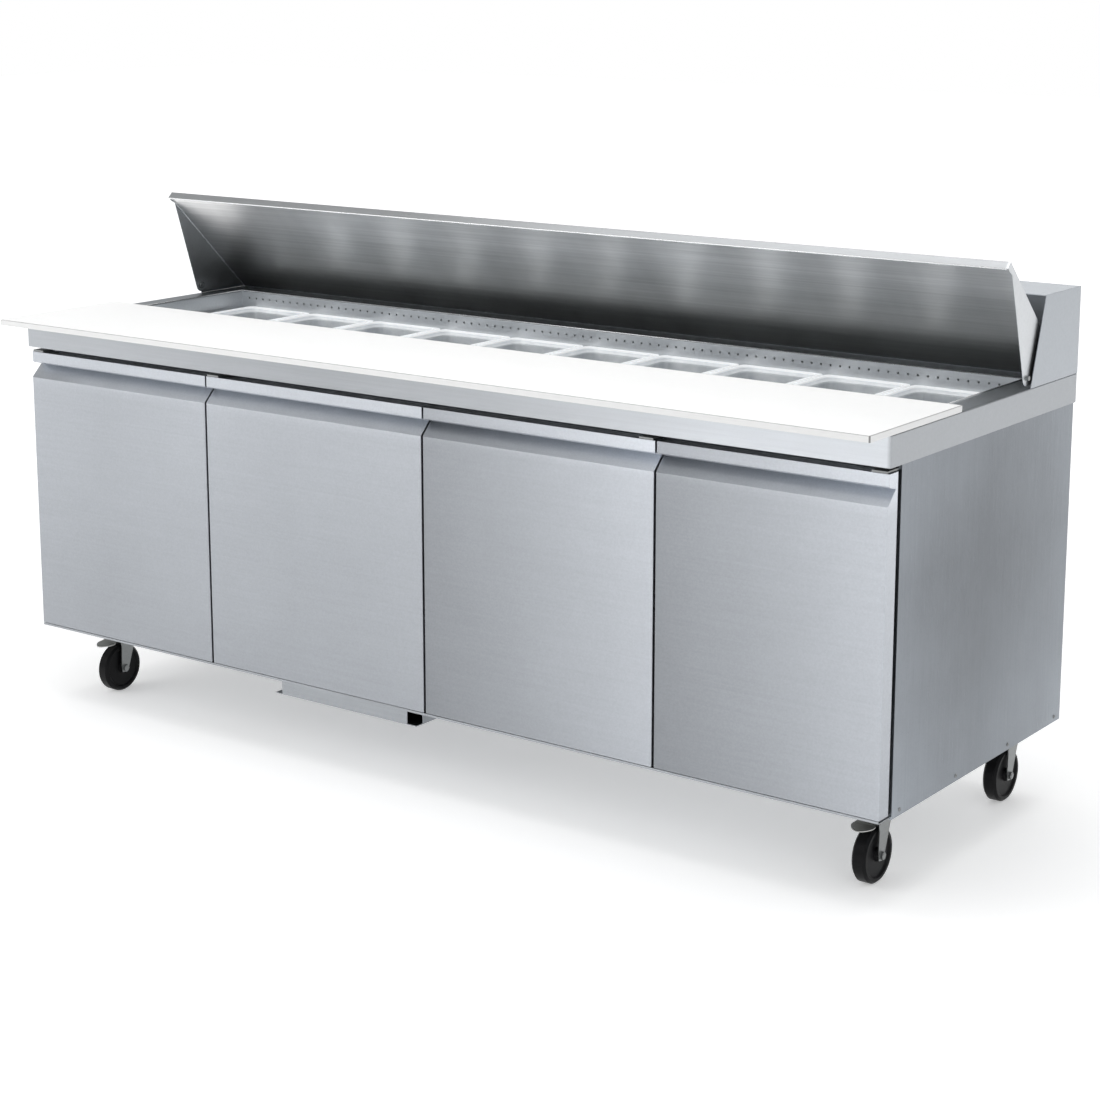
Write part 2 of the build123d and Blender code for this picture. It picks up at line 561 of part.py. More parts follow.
def caster_wheel(xs, ys):
    ya = ys - TRAIL
    with BuildPart() as wheel:
        with BuildSketch(Plane.XY) as section:
            with BuildLine():
                w, r = WHEEL_W / 2, WHEEL_R
                Polyline(
                    (-w - 2, 4.98), (-w - 2, 13), (-w + 4, 15), (-w + 4, r - 14), (-w, r - 11), (-w, r - 5),
                    (-w + 5, r), (w - 5, r), (w, r - 5), (w, r - 11), (w - 4, r - 14), (w - 4, 15),
                    (w + 2, 13), (w + 2, 4.98), close=True,
                )
            make_face()
        revolve(axis=Axis.X)
    return wheel.part.moved(Location((xs, ya, AXLE_Z)))


def brake_pedal(xs, ys):
    z = PEDAL_Z
    with BuildPart() as pedal:
        with BuildSketch(Plane.YZ.offset(xs - 26)) as side:
            with BuildLine():
                Polyline(
                    (ys - PEDAL_Y - 1, z + 3.0), (ys - 52, z + 2.5), (ys - 68, z - 6), (ys - 104, z - 10),
                    (ys - 104, z - 12), (ys - 68, z - 8.2), (ys - 52, z + 0.3), (ys - PEDAL_Y - 1, z - 0.5),
                    close=True,
                )
            make_face()
        extrude(side.sketch, amount=52)
        with BuildSketch(Plane.XY.offset(z - 30)) as outline:
            with Locations((xs, ys - 48)):
                Rectangle(33, 24)
            with BuildLine():
                Spline(
                    (xs - 15, ys - 58), (xs - 25, ys - 76), (xs - 15, ys - 95), (xs, ys - 103),
                    (xs + 15, ys - 95), (xs + 25, ys - 76), (xs + 15, ys - 58),
                )
                Line((xs + 15, ys - 58), (xs - 15, ys - 58))
            make_face()
        extrude(outline.sketch, amount=50, mode=Mode.INTERSECT)
        # rolled barrel round the cross pin
        with BuildSketch(Plane.YZ.offset(xs - 16.5)) as barrel:
            with Locations((ys - PEDAL_Y, z)):
                Circle(3.2)
        extrude(barrel.sketch, amount=33)
        with BuildSketch(Plane.YZ.offset(xs - 18)) as bore:
            with Locations((ys - PEDAL_Y, z)):
                Circle(1.56)
        extrude(bore.sketch, amount=36, mode=Mode.SUBTRACT)
    return pedal.part


for name, xs, ys in STEMS:
    save(caster_fork(xs, ys, name.startswith("front")), f"caster_fork_{name}")
    save(caster_wheel(xs, ys), f"caster_wheel_{name}")
    if name.startswith("front"):
        save(brake_pedal(xs, ys), f"brake_pedal_{name[6:]}")

# ---------------------------------------------------------------- unit tray
with BuildPart() as unit_tray:
    y1 = BODY_REAR - 6
    block(TRAY_X0, TRAY_X1, TRAY_Y0, y1, TRAY_Z0, TRAY_Z0 + 2)
    block(TRAY_X0, TRAY_X0 + 2, TRAY_Y0 + 24, y1, TRAY_Z0, ZC - 2)
    block(TRAY_X1 - 2, TRAY_X1, TRAY_Y0 + 24, y1, TRAY_Z0, ZC - 2)
    block(TRAY_X0, TRAY_X1, y1 - 2, y1, TRAY_Z0, ZC - 2)
    # front face stops short of the corners
    block(TRAY_X0 + 20, TRAY_X1 - 26, TRAY_Y0, TRAY_Y0 + 2, TRAY_Z0, ZC - 4)
    # rolled lip along the top of the front
    block(TRAY_X0 - 18, TRAY_X1 - 18, TRAY_Y0 - 7, TRAY_Y0 + 16, ZC - 14, ZC - 4)
    # hanging flanges
    block(TRAY_X0 - 18, TRAY_X0 + 2, TRAY_Y0 + 24, y1, ZC - 2, ZC)
    block(TRAY_X1 - 2, TRAY_X1 + 18, TRAY_Y0 + 24, MACH_Y0, ZC - 2, ZC)
save(unit_tray.part, "unit_tray")

# ---------------------------------------------------------------- cold unit
comp_x, comp_y = -128.0, REAR - 150.0
with BuildPart() as compressor:
    z0 = TRAY_Z0 + 2
    block(comp_x - 62, comp_x + 62, comp_y - 78, comp_y + 78, z0, z0 + 6)
    with Locations((comp_x, comp_y, z0 + 6)):
        Cylinder(66, 150, align=(Align.CENTER, Align.CENTER, Align.MIN))
    fillet(compressor.edges().filter_by(GeomType.CIRCLE).sort_by(Axis.Z)[-1], radius=38)
    # weld flange and terminal box
    with Locations((comp_x, comp_y, z0 + 76)):
        Cylinder(70, 5, align=(Align.CENTER, Align.CENTER, Align.MIN))
    block(comp_x + 56, comp_x + 88, comp_y - 26, comp_y + 26, z0 + 40, z0 + 100)
save(compressor.part, "compressor")

cond_x0, cond_x1 = -424.0, -226.0
cond_y0 = REAR - 92.0
fan_xc, fan_zc = (cond_x0 + cond_x1) / 2, TRAY_Z0 + 122.0
with BuildPart() as condenser_coil:
    z0, z1 = TRAY_Z0 + 4, TRAY_Z0 + 240
    block(cond_x0, cond_x0 + 3, cond_y0, cond_y0 + 50, z0, z1)
    block(cond_x1 - 3, cond_x1, cond_y0, cond_y0 + 50, z0, z1)
    for i in range(26):
        xf = cond_x0 + 7 + i * (cond_x1 - cond_x0 - 14) / 25
        block(xf - 0.4, xf + 0.4, cond_y0 + 2, cond_y0 + 48, z0 + 2, z1 - 2)
    for zz in range(8):
        with BuildSketch(Plane.YZ.offset(cond_x0 - 4)) as tube:
            with Locations((cond_y0 + 16, z0 + 22 + zz * 27.5), (cond_y0 + 34, z0 + 22 + zz * 27.5)):
                Circle(4.5)
        extrude(tube.sketch, amount=cond_x1 - cond_x0 + 8)
save(condenser_coil.part, "condenser_coil")

with BuildPart() as fan_shroud:
    block(cond_x0, cond_x1, cond_y0 - 22, cond_y0 - 0.5, TRAY_Z0 + 4, TRAY_Z0 + 240)
    with BuildSketch(Plane.XZ.offset(-(cond_y0 + 1))) as throat:
        with Locations((fan_xc, fan_zc)):
            Circle(88)
    extrude(throat.sketch, amount=30, mode=Mode.SUBTRACT)
    # motor bracket and motor
    block(cond_x0 + 4, cond_x1 - 4, cond_y0 - 40, cond_y0 - 36, fan_zc - 10, fan_zc + 10)
    for s in (-1, 1):
        xb = fan_xc + s * 93
        block(xb - 3, xb + 3, cond_y0 - 40, cond_y0 - 22, fan_zc - 10, fan_zc + 10)
    with BuildSketch(Plane.XZ.offset(-(cond_y0 - 36))) as motor:
        with Locations((fan_xc, fan_zc)):
            Circle(27)
    extrude(motor.sketch, amount=46)
    with BuildSketch(Plane.XZ.offset(-(cond_y0 - 36))) as shaft:
        with Locations((fan_xc, fan_zc)):
            Circle(3.0)
    extrude(shaft.sketch, amount=-20)
save(fan_shroud.part, "fan_shroud")


def fan(xc, yc, zc, radius, hub, bore, depth, blades):
    """Axial fan on a shaft along Y."""
    with BuildPart() as rotor:
        with BuildSketch(Plane.XZ.offset(-yc)) as hub_s:
            with Locations((xc, zc)):
                Circle(hub)
                Circle(bore, mode=Mode.SUBTRACT)
        extrude(hub_s.sketch, amount=depth / 2, both=True)
        for k in range(blades):
            a = 360 / blades * k
            pl = Plane(
                origin=(xc + (hub - 2) * math.cos(math.radians(a)), yc, zc + (hub - 2) * math.sin(math.radians(a))),
                x_dir=(-math.sin(math.radians(a)), 0.0, math.cos(math.radians(a))),
                z_dir=(math.cos(math.radians(a)), 0.0, math.sin(math.radians(a))),
            )
            with BuildSketch(pl) as blade:
                Rectangle(hub * 1.1, 1.6, rotation=24)
            extrude(blade.sketch, amount=radius - hub + 2)
    return rotor.part


save(fan(fan_xc, cond_y0 - 21, fan_zc, 82, 20, 3.05, 12, 5), "condenser_fan")

# louvred rear grille
with BuildPart() as rear_grille:
    gx0, gx1 = MACH_X0 + 4, MACH_X1 - 64
    gz0, gz1 = ZC + 6, MACH_Z1 - 6
    block(gx0, gx1, BODY_REAR, BODY_REAR + 1.5, gz0, gz1)
    with BuildSketch(Plane.XZ.offset(-(BODY_REAR + 3))) as slots:
        with Locations(((gx0 + gx1) / 2, (gz0 + gz1) / 2)):
            with GridLocations(164, 20, 2, 10):
                SlotOverall(148, 9)
    extrude(slots.sketch, amount=6, mode=Mode.SUBTRACT)
save(rear_grille.part, "rear_grille")

with BuildPart() as cord_gland:
    gx, gz = GLAND_X, GLAND_Z
    with BuildSketch(Plane.XZ.offset(-(BODY_REAR - 8))) as body:
        with Locations((gx, gz)):
            Circle(10.8)
            Circle(4.5, mode=Mode.SUBTRACT)
    extrude(body.sketch, amount=-10)
    with BuildSketch(Plane.XZ.offset(-BODY_REAR)) as collar:
        with Locations((gx, gz)):
            Circle(15)
            Circle(4.5, mode=Mode.SUBTRACT)
    extrude(collar.sketch, amount=-2)
save(cord_gland.part, "cord_gland")

# ---------------------------------------------------------------- evaporator
ev_x0, ev_x1 = 120.0, 560.0
ev_y1 = LIN_Y1 - T - 0.5
ev_z0, ev_z1 = 470.0, 690.0
with BuildPart() as evaporator_housing:
    block(ev_x0, ev_x1, ev_y1 - 120, ev_y1, ev_z0, ev_z1)
    fillet(evaporator_housing.edges().filter_by(Axis.X).group_by(Axis.Y)[0], radius=8)
    block(ev_x0 + 2, ev_x1 - 2, ev_y1 - 118, ev_y1 + 1, ev_z0 + 2, ev_z1 - 2, Mode.SUBTRACT)
    with BuildSketch(Plane.XZ.offset(-(ev_y1 - 114))) as mouth:
        with Locations(((ev_x0 + ev_x1) / 2, (ev_z0 + ev_z1) / 2)):
            Circle(80)
    extrude(mouth.sketch, amount=10, mode=Mode.SUBTRACT)
    # outlet slots in the top
    with BuildSketch(Plane.XY.offset(ev_z1 - 5)) as outlet:
        with Locations(((ev_x0 + ev_x1) / 2, ev_y1 - 60)):
            with GridLocations(0.1, 24, 1, 3):
                SlotOverall(380, 12)
    extrude(outlet.sketch, amount=10, mode=Mode.SUBTRACT)
    # thermostat box on the right-hand end
    block(ev_x1, ev_x1 + 36, ev_y1 - 70, ev_y1 - 10, ev_z0 + 60, ev_z0 + 130)
    with BuildSketch(Plane.XZ.offset(-(ev_y1 - 70))) as stem:
        with Locations((ev_x1 + 18, ev_z0 + 95)):
            Circle(3)
    extrude(stem.sketch, amount=9)
    # fan motor on a strap behind the mouth
    block(ev_x0 + 130, ev_x1 - 130, ev_y1 - 66, ev_y1 - 62, (ev_z0 + ev_z1) / 2 - 8, (ev_z0 + ev_z1) / 2 + 8)
    for s in (-1, 1):
        xb = (ev_x0 + ev_x1) / 2 + s * 88
        block(xb - 2, xb + 2, ev_y1 - 118, ev_y1 - 62, (ev_z0 + ev_z1) / 2 - 8, (ev_z0 + ev_z1) / 2 + 8)
    with BuildSketch(Plane.XZ.offset(-(ev_y1 - 66))) as ev_motor:
        with Locations(((ev_x0 + ev_x1) / 2, (ev_z0 + ev_z1) / 2)):
            Circle(22)
    extrude(ev_motor.sketch, amount=24)
    with BuildSketch(Plane.XZ.offset(-(ev_y1 - 90))) as ev_shaft:
        with Locations(((ev_x0 + ev_x1) / 2, (ev_z0 + ev_z1) / 2)):
            Circle(3.0)
    extrude(ev_shaft.sketch, amount=24)
save(evaporator_housing.part, "evaporator_housing")

save(fan((ev_x0 + ev_x1) / 2, ev_y1 - 104, (ev_z0 + ev_z1) / 2, 74, 18, 3.05, 12, 5), "evaporator_fan")

with BuildPart() as evaporator_coil:
    cx0, cx1 = ev_x0 + 14, ev_x1 - 14
    cy0, cy1 = ev_y1 - 56, ev_y1 - 4
    for i in range(30):
        xf = cx0 + 6 + i * (cx1 - cx0 - 12) / 29
        block(xf - 0.4, xf + 0.4, cy0, cy1, ev_z0 + 8, ev_z1 - 8)
    for zz in range(7):
        with BuildSketch(Plane.YZ.offset(cx0)) as ev_tube:
            with Locations((cy0 + 16, ev_z0 + 24 + zz * 28), (cy0 + 36, ev_z0 + 24 + zz * 28)):
                Circle(4.5)
        extrude(ev_tube.sketch, amount=cx1 - cx0)
save(evaporator_coil.part, "evaporator_coil")

with BuildPart() as thermostat_dial:
    with BuildSketch(Plane.XZ.offset(-(ev_y1 - 71))) as knob:
        with Locations((ev_x1 + 18, ev_z0 + 95)):
            Circle(15)
            Circle(3.05, mode=Mode.SUBTRACT)
    extrude(knob.sketch, amount=10)
    with BuildSketch(Plane.XZ.offset(-(ev_y1 - 81))) as grip:
        with Locations((ev_x1 + 18, ev_z0 + 95)):
            Rectangle(5, 26)
    extrude(grip.sketch, amount=5)
save(thermostat_dial.part, "thermostat_dial")

# ---------------------------------------------------------------- wire shelves
SHELF_Z = 452.0
with BuildPart() as wire_shelves:
    for i, (lo, hi) in enumerate(BAY):
        x0, x1 = lo + 8, hi - 8
        if i == 0:
            x0 = lo + 10
        if i == 3:
            x1 = hi - 10
        y0 = LIN_Y0 + 8
        y1 = (my0 - 10) if i == 1 else LIN_Y1 - 14
        z = 380.0 if i != 1 else 380.0
        d = 6.0
        block(x0, x1, y0, y0 + d, z - d, z)
        block(x0, x1, y1 - d, y1, z - d, z)
        block(x0, x0 + d, y0, y1, z - d, z)
        block(x1 - d, x1, y0, y1, z - d, z)
        block(x0, x1, (y0 + y1) / 2 - 3, (y0 + y1) / 2 + 3, z - d, z)
        n = int((x1 - x0) / 27)
        with Locations(((x0 + x1) / 2, (y0 + y1) / 2, z + 1.5)):
            with GridLocations((x1 - x0 - 10) / n, 1, n + 1, 1):
                Box(3.2, y1 - y0, 3.2)
save(wire_shelves.part, "wire_shelves")

# ---------------------------------------------------------------- report
print("pivot of the lid", round(PIV_Y, 2), round(PIV_Z, 2), "A", A, "C", C)
print("doors", DOORS)
print("bays", BAY, "sill", SILL_Z, "head", HEAD_Z)
print("stems", STEMS)
print("fan", fan_xc, cond_y0 - 21, fan_zc, "evaporator fan", (ev_x0 + ev_x1) / 2, ev_y1 - 104, (ev_z0 + ev_z1) / 2)
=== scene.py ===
import math

import bmesh
import bpy
from mathutils import Matrix, Vector


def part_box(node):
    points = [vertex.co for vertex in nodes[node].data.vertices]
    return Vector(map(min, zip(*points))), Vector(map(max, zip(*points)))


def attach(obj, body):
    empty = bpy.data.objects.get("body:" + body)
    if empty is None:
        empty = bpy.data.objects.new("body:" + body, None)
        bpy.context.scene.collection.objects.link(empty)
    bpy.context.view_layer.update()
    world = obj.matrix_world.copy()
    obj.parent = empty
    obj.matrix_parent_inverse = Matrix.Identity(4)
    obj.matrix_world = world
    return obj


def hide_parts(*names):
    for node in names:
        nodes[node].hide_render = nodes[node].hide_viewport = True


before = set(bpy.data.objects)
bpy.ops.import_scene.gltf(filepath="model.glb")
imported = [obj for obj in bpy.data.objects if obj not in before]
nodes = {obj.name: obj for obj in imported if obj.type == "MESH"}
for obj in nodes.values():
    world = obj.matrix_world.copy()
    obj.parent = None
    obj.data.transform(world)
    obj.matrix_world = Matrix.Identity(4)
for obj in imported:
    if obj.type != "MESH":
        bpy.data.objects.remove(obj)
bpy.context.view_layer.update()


# ---------------------------------------------------------------- view and light
def look(obj, target):
    obj.rotation_euler = (Vector(target) - obj.location).to_track_quat("-Z", "Y").to_euler()


cam_data = bpy.data.cameras.new("camera")
cam_data.sensor_width = 36
cam_data.lens = 77.88
cam_data.shift_y = -0.10
cam_data.clip_end = 60
cam = bpy.data.objects.new("camera", cam_data)
cam.location = (3.2265, -4.2369, 1.8416)
cam.rotation_euler = (math.radians(90 - 11.67), 0, math.radians(36.23))
bpy.context.scene.collection.objects.link(cam)
bpy.context.scene.camera = cam
bpy.context.scene.view_settings.view_transform = "Standard"


def softbox(name, at, target, size, power, tint=(1, 1, 1)):
    data = bpy.data.lights.new(name, "AREA")
    data.shape = "RECTANGLE"
    data.size, data.size_y = size
    data.energy = power
    data.color = tint
    obj = bpy.data.objects.new(name, data)
    obj.location = at
    look(obj, target)
    bpy.context.scene.collection.objects.link(obj)
    return obj


softbox("key", (-3.4, -4.2, 3.4), (0, 0, 0.5), (3.6, 2.6), 62, (1.0, 0.99, 0.98))
softbox("fill", (4.6, -3.2, 2.6), (0.2, 0, 0.5), (2.6, 2.2), 22, (0.97, 0.99, 1.0))
softbox("over", (0.2, -0.4, 3.9), (0, 0, 0.6), (4.4, 2.2), 62)
softbox("behind", (-1.2, 3.8, 2.8), (0, 0, 0.8), (3.4, 1.6), 26)

world = bpy.data.worlds.new("studio")
bpy.context.scene.world = world
world.use_nodes = True
wn, wl = world.node_tree.nodes, world.node_tree.links
wn.clear()
w_out = wn.new("ShaderNodeOutputWorld")
w_bg = wn.new("ShaderNodeBackground")
w_tc = wn.new("ShaderNodeTexCoord")
w_sep = wn.new("ShaderNodeSeparateXYZ")
w_ramp = wn.new("ShaderNodeValToRGB")
w_ramp.color_ramp.elements[0].position = 0.0
w_ramp.color_ramp.elements[0].color = (0.93, 0.94, 0.95, 1)
w_ramp.color_ramp.elements[1].position = 0.75
w_ramp.color_ramp.elements[1].color = (1, 1, 1, 1)
e = w_ramp.color_ramp.elements.new(0.16)
e.color = (0.50, 0.52, 0.54, 1)
wl.new(w_tc.outputs["Generated"], w_sep.inputs[0])
wl.new(w_sep.outputs["Z"], w_ramp.inputs[0])
wl.new(w_ramp.outputs["Color"], w_bg.inputs["Color"])
w_bg.inputs["Strength"].default_value = 0.62
w_white = wn.new("ShaderNodeBackground")
w_path = wn.new("ShaderNodeLightPath")
w_mix = wn.new("ShaderNodeMixShader")
wl.new(w_path.outputs["Is Camera Ray"], w_mix.inputs[0])
wl.new(w_bg.outputs[0], w_mix.inputs[1])
wl.new(w_white.outputs[0], w_mix.inputs[2])
w_white.inputs["Color"].default_value = (1, 1, 1, 1)
wl.new(w_mix.outputs[0], w_out.inputs["Surface"])


# ---------------------------------------------------------------- materials
class Mat:
    """One procedural material: a shader and a few helpers to wire its nodes."""

    def __init__(self, name):
        self.m = bpy.data.materials.new(name)
        self.m.use_nodes = True
        self.n, self.l = self.m.node_tree.nodes, self.m.node_tree.links
        self.b = next(x for x in self.n if x.type == "BSDF_PRINCIPLED")
        self.tc = self.n.new("ShaderNodeTexCoord").outputs["Object"]

    def set(self, **kw):
        for k, v in kw.items():
            self.b.inputs[k.replace("_", " ")].default_value = v
        return self

    def noise(self, scale, detail=3.0, rough=0.55, stretch=None, distort=0.0):
        src = self.tc
        if stretch:
            mp = self.n.new("ShaderNodeMapping")
            mp.inputs["Scale"].default_value = stretch
            self.l.new(src, mp.inputs["Vector"])
            src = mp.outputs["Vector"]
        t = self.n.new("ShaderNodeTexNoise")
        t.inputs["Scale"].default_value = scale
        t.inputs["Detail"].default_value = detail
        t.inputs["Roughness"].default_value = rough
        t.inputs["Distortion"].default_value = distort
        self.l.new(src, t.inputs["Vector"])
        return t.outputs["Fac"]

    def ramp(self, fac, stops):
        r = self.n.new("ShaderNodeValToRGB")
        els = r.color_ramp.elements
        while len(els) < len(stops):
            els.new(0.5)
        for el, (p, c) in zip(els, stops):
            el.position = p
            el.color = (c[0], c[1], c[2], 1) if hasattr(c, "__len__") else (c, c, c, 1)
        self.l.new(fac, r.inputs[0])
        return r.outputs["Color"]

    def remap(self, fac, lo, hi, a=0.3, b=0.7):
        r = self.n.new("ShaderNodeMapRange")
        for k, v in (("From Min", a), ("From Max", b), ("To Min", lo), ("To Max", hi)):
            r.inputs[k].default_value = v
        self.l.new(fac, r.inputs["Value"])
        return r.outputs["Result"]

    def along(self, axis, lo, hi):
        """0 to 1 along one axis of the object's own space."""
        s = self.n.new("ShaderNodeSeparateXYZ")
        self.l.new(self.tc, s.inputs[0])
        return self.remap(s.outputs[axis], 0, 1, lo, hi)

    def mix(self, a, b, mode="MULTIPLY", fac=1.0):
        x = self.n.new("ShaderNodeMix")
        x.data_type = "RGBA"
        x.blend_type = mode
        x.inputs["Factor"].default_value = fac
        for sock, v in ((x.inputs[6], a), (x.inputs[7], b)):
            if hasattr(v, "links"):
                self.l.new(v, sock)
            else:
                sock.default_value = (*v, 1)
        return x.outputs[2]

    def math(self, op, a, b):
        x = self.n.new("ShaderNodeMath")
        x.operation = op
        for sock, v in ((x.inputs[0], a), (x.inputs[1], b)):
            if hasattr(v, "links"):
                self.l.new(v, sock)
            else:
                sock.default_value = v
        return x.outputs[0]

    def bump(self, height, strength=0.2, distance=0.001, edge=None):
        x = self.n.new("ShaderNodeBump")
        x.inputs["Strength"].default_value = strength
        x.inputs["Distance"].default_value = distance
        self.l.new(height, x.inputs["Height"])
        if edge:
            bv = self.n.new("ShaderNodeBevel")
            bv.samples = 4
            bv.inputs["Radius"].default_value = edge
            self.l.new(bv.outputs["Normal"], x.inputs["Normal"])
        self.l.new(x.outputs["Normal"], self.b.inputs["Normal"])

    def colour(self, c):
        self.l.new(c, self.b.inputs["Base Color"])
        return self

    def rough(self, r):
        self.l.new(r, self.b.inputs["Roughness"])
        return self


GRAIN = {"X": (1.2, 70, 70), "Y": (70, 1.2, 70), "Z": (70, 70, 1.2)}


def steel(name, tone=(0.60, 0.625, 0.65), rough=0.34, grain="X", streak=0.05, cloud=0.05, mottle=0.03,
          painted_shading=None, edge=0.0012, metal=1.0):
    """Rolled sheet steel: long fine grain, faint clouding, and optional painted light and shade ramped across the
    sheet.
    """
    m = Mat(name).set(Metallic=metal)
    g = GRAIN[grain]
    fine = m.noise(14, 2.0, 0.6, g)
    wide = m.noise(2.4, 3.0, 0.6, g)
    cloud_n = m.noise(2.2, 4.0, 0.6)
    speck = m.noise(230, 2.0, 0.6)
    c = m.mix(tone, m.ramp(wide, [(0.3, 1 - streak), (0.7, 1 + streak * 0.2)]))
    c = m.mix(c, m.ramp(cloud_n, [(0.3, 1 - cloud), (0.7, 1.0)]))
    c = m.mix(c, m.ramp(speck, [(0.3, 1 - mottle), (0.7, 1.0)]))
    # painted light and shade: colour ramps along the listed axes
    for axis, lo, hi, stops in painted_shading or []:
        c = m.mix(c, m.ramp(m.along(axis, lo, hi), stops))
    m.colour(c)
    m.rough(m.math("ADD", m.remap(fine, rough - 0.05, rough + 0.06), m.remap(cloud_n, -0.03, 0.04)))
    m.bump(m.math("ADD", fine, m.math("MULTIPLY", wide, 0.6)), 0.10, 0.0004, edge)
    return m.m


def coated(name, colour, rough=0.4, vary=0.06, scale=160, bump=0.15, metal=0.0, edge=0.0008, sheen=None, spec=0.5):
    """Painted, moulded or coated surface with a fine skin texture and slight wear."""
    m = Mat(name).set(Metallic=metal)
    m.set(Specular_IOR_Level=spec)
    skin = m.noise(scale, 3.0, 0.6)
    big = m.noise(7, 4.0, 0.6)
    c = m.mix(colour, m.ramp(big, [(0.3, 1 - vary), (0.7, 1.0)]))
    c = m.mix(c, m.ramp(skin, [(0.3, 1 - vary * 0.5), (0.7, 1.0)]))
    m.colour(c)
    m.rough(m.remap(big, rough - 0.06, rough + 0.08))
    m.bump(skin, bump, 0.0003, edge)
    return m.m


def box(n):
    lo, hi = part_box(n)
    return lo, hi


doors = {}
for i in (1, 2, 3, 4):
    lo, hi = box(f"door_{i}_shell")
    # painted reflection: each door's colour is ramped across its width (doors 3 and 4 darker at the left, brighter at
    # the right) and painted brighter towards the top as a highlight
    left, mid, right = ((1.03, 0.98, 1.04) if i < 3 else (0.72, 0.90, 1.26))
    doors[i] = steel(
        f"steel_door_{i}", (0.425, 0.445, 0.475), 0.35, "X", 0.04, 0.10, 0.08,
        painted_shading=[("X", lo.x, hi.x, [(0.0, left), (0.40, mid), (1.0, right)]),
               ("Z", lo.z, hi.z, [(0.0, 0.92), (0.45, 1.0), (0.88, 1.10), (0.93, 1.30), (1.0, 1.38)])])

slo, shi = box("side_panels")
mats = {
    "cheek_dark": steel("steel_cheek", (0.70, 0.72, 0.74), 0.30, "Z", 0.06, 0.10, 0.03),
    # painted reflection and shade: the worktop is painted darker left of centre and brighter towards the right, and its
    # right end face darker
    "apron": steel("steel_worktop", (0.50, 0.52, 0.545), 0.36, "X", 0.05, 0.10, 0.02,
                   painted_shading=[("X", -1.181, 1.181, [(0.0, 1.0), (0.40, 0.80), (0.62, 0.95), (0.85, 1.35), (0.996, 1.45), (0.999, 0.82)])]),
    # painted light and shade: the side panels get a darker tone than the other steel, painted lighter towards their
    # front, rear, top and bottom edges
    "side": steel("steel_side", (0.235, 0.255, 0.28), 0.32, "Z", 0.04, 0.26, 0.05,
                  painted_shading=[("Y", slo.y, shi.y, [(0.0, 1.25), (0.10, 1.12), (0.5, 0.88), (0.85, 1.05), (1.0, 1.22)]),
                         ("Z", slo.z, shi.z, [(0.0, 1.25), (0.25, 1.05), (0.6, 0.92), (1.0, 1.1)])]),
    "hood": steel("steel_hood", (0.43, 0.455, 0.485), 0.32, "X", 0.05, 0.10, 0.03),
    # painted light and shade: the lid is painted darker along its length, darkest towards the right, while its end
    # faces keep a lighter tone (the right one the full tone)
    "lid_out": steel("steel_lid", (0.74, 0.76, 0.78), 0.34, "X", 0.05, 0.06, 0.03,
                     painted_shading=[("X", -1.176, 1.176, [(0.0, 0.7), (0.002, 0.62), (0.6, 0.50), (0.998, 0.46), (1.0, 1.0)])]),
    "frame": steel("steel_frame", (0.58, 0.60, 0.625), 0.30, "X", 0.05, 0.05, 0.03),
    "liner": steel("steel_liner", (0.60, 0.62, 0.64), 0.30, "Z", 0.06, 0.08, 0.03),
    # painted light: a lighter tone than the liner, lifting the shade inside the deep pan well
    "well": steel("steel_well", (0.72, 0.74, 0.76), 0.38, "X", 0.05, 0.06, 0.03),
    "tray": steel("steel_tray", (0.42, 0.44, 0.465), 0.32, "X", 0.08, 0.22, 0.05),
    # painted highlight: a lighter tone than the sheets that these hems, folds and trims edge, so they read as bright
    # lines
    "hem": steel("steel_hem", (0.86, 0.87, 0.88), 0.22, "X", 0.03, 0.05, 0.02),
    "zinc": steel("zinc_caster", (0.33, 0.34, 0.34), 0.36, "Y", 0.05, 0.22, 0.08, edge=0.0008),
    "galv": steel("zinc_sheet", (0.50, 0.52, 0.54), 0.42, "X", 0.02, 0.30, 0.12),
    "shelf": coated("shelf_coat", (0.78, 0.79, 0.80), 0.35, 0.05),
    "gasket": coated("gasket_rubber", (0.035, 0.036, 0.038), 0.55, 0.15, 220, 0.2),
    "foam": coated("foam", (0.72, 0.66, 0.42), 0.9, 0.15, 320, 0.5),
    "enamel": coated("black_enamel", (0.018, 0.018, 0.02), 0.28, 0.2, 90, 0.1),
    "black": coated("black_plastic", (0.025, 0.025, 0.027), 0.42, 0.15, 200, 0.15),
    "wheel": coated("wheel_black", (0.006, 0.006, 0.007), 0.40, 0.25, 140, 0.2, spec=0.14),
    "pedal": steel("zinc_pedal", (0.56, 0.56, 0.54), 0.42, "Y", 0.05, 0.20, 0.06, edge=0.0008),
    "abs": coated("white_plastic", (0.80, 0.80, 0.78), 0.38, 0.04, 180, 0.12),
    "coil": steel("coil_fins", (0.60, 0.61, 0.62), 0.40, "Z", 0.2, 0.1, 0.1),
}

# the inside of the lid: long horizontal grain under faint upright blotches; painted shade darkens it towards the hinge
# and painted light brightens it towards the top
llo, lhi = box("lid_inner_panel")
m = Mat("steel_lid_inside").set(Metallic=1.0)
fine = m.noise(16, 3.0, 0.65, (0.8, 70, 70))
wide = m.noise(3, 3.0, 0.6, (0.5, 40, 40))
blot = m.noise(1.0, 3.0, 0.5, (5.5, 0.6, 0.6))
c = m.ramp(m.along("Z", llo.z, lhi.z), [(0.0, (0.30, 0.305, 0.30)), (0.25, (0.40, 0.405, 0.40)), (0.55, (0.72, 0.725, 0.72)), (0.80, (1.0, 1.0, 1.0)), (1.0, (1.0, 1.0, 1.0))])
c = m.mix(c, m.ramp(wide, [(0.25, 0.80), (0.75, 1.0)]))
c = m.mix(c, m.ramp(fine, [(0.25, 0.90), (0.75, 1.0)]))
c = m.mix(c, m.ramp(blot, [(0.3, 0.86), (0.7, 1.06)]))
m.colour(c)
